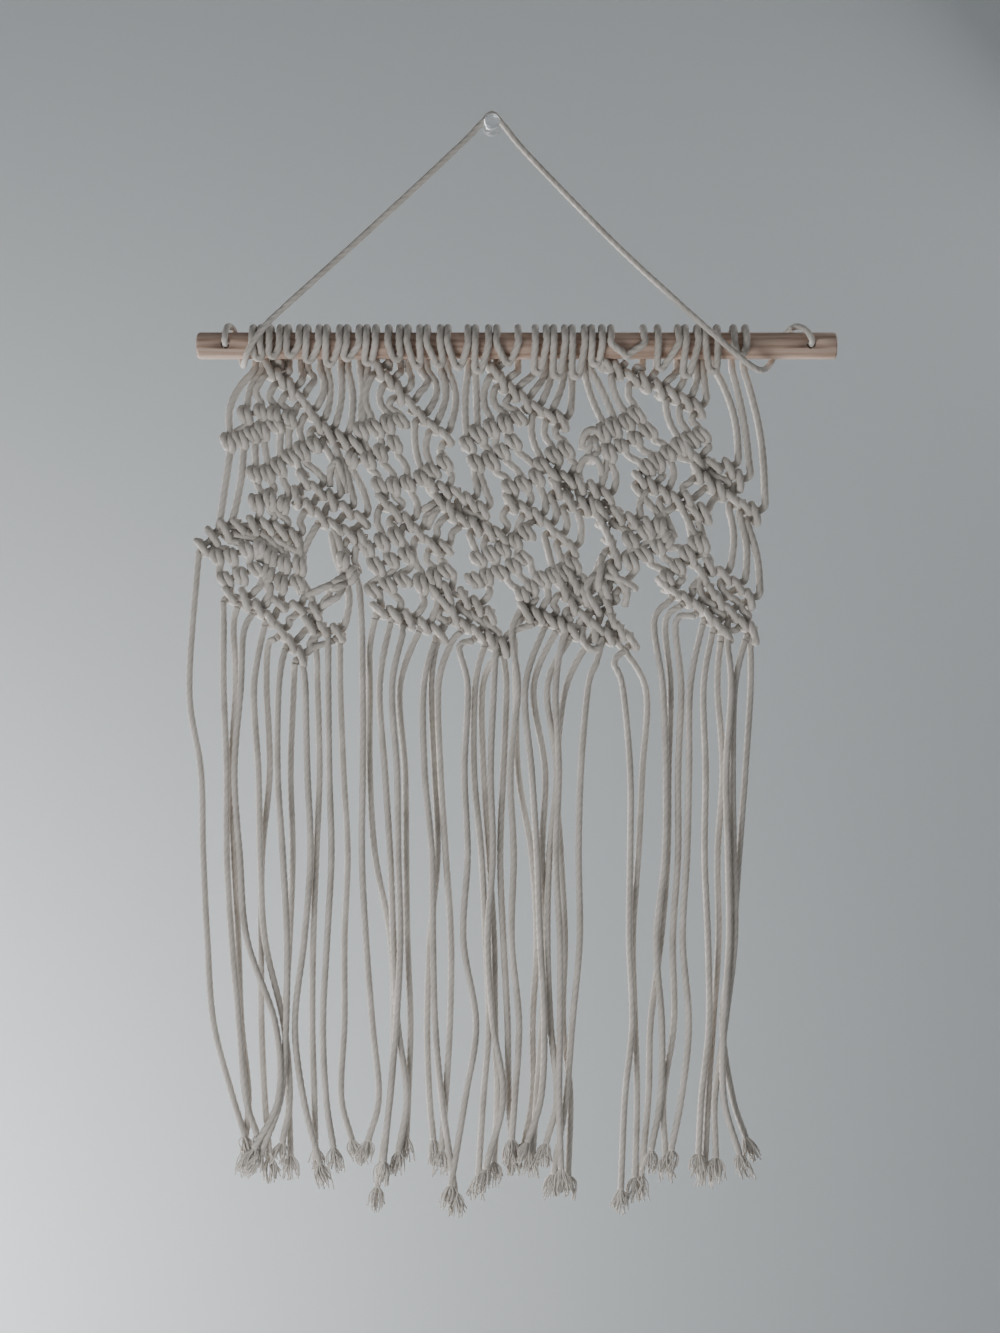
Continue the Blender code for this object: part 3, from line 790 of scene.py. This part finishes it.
def cotton_material(name, dark, light):
    """Natural cotton: off-white, soft plies of fine fibres, with painted shade darkening the valleys between
    the plies.
    """
    material, nodes, links, shader = new_material(name)
    shader.inputs["Roughness"].default_value = 0.9
    shader.inputs["Sheen Weight"].default_value = 0.25
    shader.inputs["Sheen Roughness"].default_value = 0.5
    shader.inputs["Specular IOR Level"].default_value = 0.2
    cord_map = nodes.new("ShaderNodeUVMap")
    cord_map.uv_map = CORD_MAP
    round_cord = cord_map.outputs["UV"]
    fibres = noise(nodes, links, stretched(nodes, links, round_cord, (24, 2.6, 1), 0.3), 1, 4)
    fuzz = noise(nodes, links, stretched(nodes, links, round_cord, (62, 14, 1), -0.25), 1, 3)
    plies = ply_height(nodes, links, round_cord)
    place = nodes.new("ShaderNodeTexCoord").outputs["Object"]
    patches = noise(nodes, links, place, 70, 4)
    # The plies' height darkens the colour in the valleys between them: painted shade. The patches and fibres
    # are the cotton's own tone.
    tone = sum_of(nodes, links, sum_of(nodes, links, patches, plies, 0.22), fibres, 0.3)
    colour = ramp(nodes, links, tone, ((0.42, dark), (1.0, light)))
    links.new(colour, shader.inputs["Base Color"])
    height = sum_of(nodes, links, sum_of(nodes, links, plies, fibres, 1.2), fuzz, 0.5)
    bumped(nodes, links, shader, height, 0.5, 0.00025)
    return material


def wood_material():
    """Pale, plain, sanded wood: growth rings cut lengthways, fine grain and short dark pores."""
    material, nodes, links, shader = new_material("pale_wood")
    shader.inputs["Specular IOR Level"].default_value = 0.35
    place = nodes.new("ShaderNodeTexCoord").outputs["Object"]
    rings = nodes.new("ShaderNodeTexWave")
    rings.wave_type = "RINGS"
    rings.rings_direction = "X"
    rings.inputs["Scale"].default_value = 95
    rings.inputs["Distortion"].default_value = 5
    rings.inputs["Detail"].default_value = 3
    rings.inputs["Detail Scale"].default_value = 1.5
    links.new(stretched(nodes, links, place, (0.08, 1, 1)), rings.inputs["Vector"])
    grain = noise(nodes, links, stretched(nodes, links, place, (0.05, 1, 1)), 900, 5)
    pores = noise(nodes, links, stretched(nodes, links, place, (0.12, 1, 1)), 2600, 2)
    tone = sum_of(nodes, links, sum_of(nodes, links, grain, rings.outputs["Fac"], 0.45), pores, 0.25)
    colour = ramp(nodes, links, tone, ((0.4, (0.36, 0.235, 0.175)), (1.05, (0.60, 0.44, 0.355))))
    links.new(colour, shader.inputs["Base Color"])
    finish = ramp(nodes, links, grain, ((0.3, (0.7, 0.7, 0.7)), (0.7, (0.52, 0.52, 0.52))))
    links.new(finish, shader.inputs["Roughness"])
    bumped(nodes, links, shader, tone, 0.3, 0.0002)
    return material


def pin_material():
    """Clear, polished plastic with faint moulding swirls and fine scuffs."""
    material, nodes, links, shader = new_material("clear_plastic")
    shader.inputs["IOR"].default_value = 1.49
    shader.inputs["Transmission Weight"].default_value = 0.75
    place = nodes.new("ShaderNodeTexCoord").outputs["Object"]
    swirls = noise(nodes, links, place, 160, 2)
    scuffs = noise(nodes, links, place, 1400, 4)
    colour = ramp(nodes, links, swirls, ((0.3, (0.84, 0.87, 0.89)), (0.7, (0.95, 0.96, 0.96))))
    links.new(colour, shader.inputs["Base Color"])
    finish = ramp(nodes, links, scuffs, ((0.4, (0.04, 0.04, 0.04)), (0.7, (0.16, 0.16, 0.16))))
    links.new(finish, shader.inputs["Roughness"])
    bumped(nodes, links, shader, swirls, 0.15, 0.0004)
    return material


def stage_material(name, colour):
    """A plain matt paint for the stage."""
    material, _, _, shader = new_material(name)
    shader.inputs["Base Color"].default_value = (*colour, 1)
    shader.inputs["Roughness"].default_value = STAGE_ROUGHNESS
    return material


def turned(name, profile, material, sides):
    """A smooth turned shape about the Z axis, from (radius, height) in millimetres down its outer side."""
    mesh = bpy.data.meshes.new(name)
    shape = bmesh.new()
    corners = [shape.verts.new((radius * MM, 0, height * MM)) for radius, height in profile]
    edges = [shape.edges.new(pair) for pair in zip(corners, corners[1:])]
    bmesh.ops.spin(
        shape, geom=corners + edges, cent=(0, 0, 0), axis=(0, 0, 1), angle=2 * pi, steps=sides, use_merge=True
    )
    bmesh.ops.remove_doubles(shape, verts=shape.verts, dist=0.01 * MM)
    bmesh.ops.recalc_face_normals(shape, faces=shape.faces)
    shape.to_mesh(mesh)
    shape.free()
    mesh.materials.append(material)
    piece = bpy.data.objects.new(name, mesh)
    bpy.context.scene.collection.objects.link(piece)
    return piece


def drill_hole(dowel, hole_x):
    """Cuts one small hole through the dowel, from front to back."""
    drill = bpy.data.meshes.new("drill")
    shape = bmesh.new()
    bmesh.ops.create_cone(
        shape, cap_ends=True, segments=HOLE_SIDES, radius1=HOLE_RADIUS, radius2=HOLE_RADIUS,
        depth=4 * DOWEL_RADIUS,
    )
    bmesh.ops.rotate(shape, verts=shape.verts, matrix=Matrix.Rotation(pi / 2, 3, "X"))
    bmesh.ops.translate(shape, verts=shape.verts, vec=(hole_x, DOWEL_Y, DOWEL_Z))
    shape.to_mesh(drill)
    shape.free()
    cutter = bpy.data.objects.new("drill", drill)
    bpy.context.scene.collection.objects.link(cutter)
    hole = dowel.modifiers.new("hole", "BOOLEAN")
    hole.object = cutter
    with bpy.context.temp_override(object=dowel, active_object=dowel, selected_objects=[dowel]):
        bpy.ops.object.modifier_apply(modifier=hole.name)
    bpy.data.objects.remove(cutter)


def make_dowel(material):
    """The wooden rod: its left end is worn round, its right end is bevelled, and a hole is near each end."""
    half = DOWEL_LENGTH / 2 / MM
    radius = DOWEL_RADIUS / MM
    neck = radius - WORN_RADIUS
    shoulder = half - WORN_RADIUS
    worn = [(neck + WORN_RADIUS * sin(turn), shoulder + WORN_RADIUS * cos(turn)) for turn in WORN_TURNS]
    body = [(radius, shoulder - step * (2 * half - 3) / DOWEL_BANDS) for step in range(1, DOWEL_BANDS)]
    bevelled = [(radius, -half + 0.9), (radius - 0.2, -half + 0.4), (radius - 0.9, -half), (0, -half)]
    dowel = turned("dowel_wood", [(0, half), *worn, *body, *bevelled], material, DOWEL_SIDES)
    dowel.data.transform(Matrix.Rotation(-pi / 2, 4, "Y"))
    dowel.data.transform(Matrix.Translation((DOWEL_MIDDLE_X, DOWEL_Y, DOWEL_Z)))
    dowel.data.shade_smooth()
    dowel.data.set_sharp_from_angle(angle=radians(40))
    for hole_x in HOLES_X:
        drill_hole(dowel, hole_x)
    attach(dowel, BODY)
    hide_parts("dowel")
    return dowel


def make_pin(material):
    """The clear push pin, without its point."""
    pin = turned("pin_plastic", PIN_PROFILE, material, PIN_SIDES)
    pin.data.transform(Matrix.Rotation(pi / 2, 4, "X"))
    pin.data.shade_smooth()
    pin.data.set_sharp_from_angle(angle=radians(50))
    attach(pin, BODY)
    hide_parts("wall_pin")


def make_hanger(material):
    """The cord that the dowel hangs from."""
    route = smooth_route([Vector(place) * MM for place in HANGER_ROUTE], RING_STEP * MM)
    hanger = cord_piece("hanger_cotton", [route], material)
    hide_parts("hanger_cord")


def make_stage():
    """A pale floor far below and a grey backdrop far behind."""
    for name, place, turn, colour in (
        ("stage_floor", (0, 0, -1.4), 0, FLOOR_COLOUR),
        ("stage_backdrop", (0, 1.6, 0), pi / 2, BACKDROP_COLOUR),
    ):
        mesh = bpy.data.meshes.new(name)
        shape = bmesh.new()
        bmesh.ops.create_grid(shape, x_segments=1, y_segments=1, size=STAGE_SIZE / 2)
        shape.to_mesh(mesh)
        shape.free()
        mesh.materials.append(stage_material(name, colour))
        board = bpy.data.objects.new(name, mesh)
        board.location = place
        board.rotation_euler = (turn, 0, 0)
        bpy.context.scene.collection.objects.link(board)


def area_light(name, place, target, size, power):
    """A square light at a place, turned to its target, which the camera doesn't see."""
    light = bpy.data.lights.new(name, "AREA")
    light.size = size
    light.energy = power
    lamp = bpy.data.objects.new(name, light)
    lamp.location = place
    lamp.rotation_euler = (Vector(target) - Vector(place)).to_track_quat("-Z", "Y").to_euler()
    lamp.visible_camera = False
    bpy.context.scene.collection.objects.link(lamp)


def make_lights():
    """Light from the lower left, a weak fill, a rim light behind, a wash on the backdrop, and a soft sky."""
    area_light("key", (-0.7, -0.75, -1.05), MIDDLE, 0.6, 9)
    area_light("fill", (1.3, -1.4, 0.5), MIDDLE, 1.4, 2)
    area_light("rim", (1.0, 1.1, 0.6), MIDDLE, 0.9, 12)
    area_light("backdrop_wash", (-1.3, 0.9, -1.2), BACKDROP_SPOT, 0.6, 66)
    world = bpy.data.worlds.new("world")
    world.use_nodes = True
    world.node_tree.nodes["Background"].inputs["Color"].default_value = SKY_COLOUR
    world.node_tree.nodes["Background"].inputs["Strength"].default_value = SKY_STRENGTH
    bpy.context.scene.world = world


def make_camera():
    """A camera square on to the wall."""
    data = bpy.data.cameras.new("camera")
    data.sensor_fit = "VERTICAL"
    data.angle = 2 * atan(FRAME_HEIGHT / 2 / CAMERA_DISTANCE)
    camera = bpy.data.objects.new("camera", data)
    camera.location = (CAMERA_X, -CAMERA_DISTANCE, CAMERA_Z)
    camera.rotation_euler = (pi / 2, 0, 0)
    bpy.context.scene.collection.objects.link(camera)
    bpy.context.scene.camera = camera


def make_heading(cotton):
    """The folded cords on the dowel, in one piece."""
    knots = [smooth_route(knot_route(knot), RING_STEP * MM) for knot in rows(KNOTS, KNOT_COLUMNS)]
    heading = cord_piece("heading_knots", knots, cotton, HEADING_RADIUS)
    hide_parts(*(f"lark_knot_{number:02d}" for number in range(1, len(KNOTS) + 1)))
    return heading


def make_net(cotton, starts, lines):
    """The net's pieces: its working cords in two, and its holding cords and loose cords."""
    holding = cord_piece("holding_cords", list(holding_routes(starts).values()), cotton)
    net = cord_piece("net_cords_1", lines[::2], cotton, NET_CORD_RADIUS)
    more_net = cord_piece("net_cords_2", lines[1::2], cotton, NET_CORD_RADIUS)
    loose = [smooth_route([at(*point) for point in points], RING_STEP * MM) for points in LOOSE_CORDS]
    loose_cords = cord_piece("loose_cords", loose, cotton, NET_CORD_RADIUS)
    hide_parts("knotted_panel")
    return net, [more_net, holding, loose_cords]


def make_fringe(cotton, lit_feet_cotton, lines):
    """The fringe's pieces: its strands in two, and the loose fibres at their feet."""
    half = len(lines) // 2
    fringe = cord_piece("fringe_strands_1", lines[:half], cotton, FRINGE_RADIUS)
    more_fringe = cord_piece("fringe_strands_2", lines[half:], cotton, FRINGE_RADIUS)
    fibres = [fibre for line in lines for fibre in tuft_lines(line)]
    tufts = cord_piece("fringe_tufts", fibres, lit_feet_cotton, FIBRE_RADIUS, FIBRE_SIDES)
    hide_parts("fringe")
    return [fringe, more_fringe, tufts]


def main():
    """Builds the stage, the light, the hard parts and then the cords."""
    make_camera()
    make_stage()
    make_lights()
    cotton = cotton_material("natural_cotton", *CORD_COLOURS)
    # The feet get a lighter copy of the cotton: painted light that offsets the shade among their fibres.
    lit_feet_cotton = cotton_material("feet_cotton_painted_light", *FOOT_COLOURS)
    dowel = make_dowel(wood_material())
    make_pin(pin_material())
    make_hanger(cotton)
    heading = make_heading(cotton)
    hitches = place_hitches()
    starts = leg_starts()
    following = named_links()
    near_links(hitches, following, starts)
    routes = net_routes(hitches, following, starts)
    net_lines, fringe_lines = hang_fringe(routes)
    net, net_pieces = make_net(cotton, starts, [net_lines[place] for place in routes])
    fringe_pieces = make_fringe(cotton, lit_feet_cotton, fringe_lines)


main()
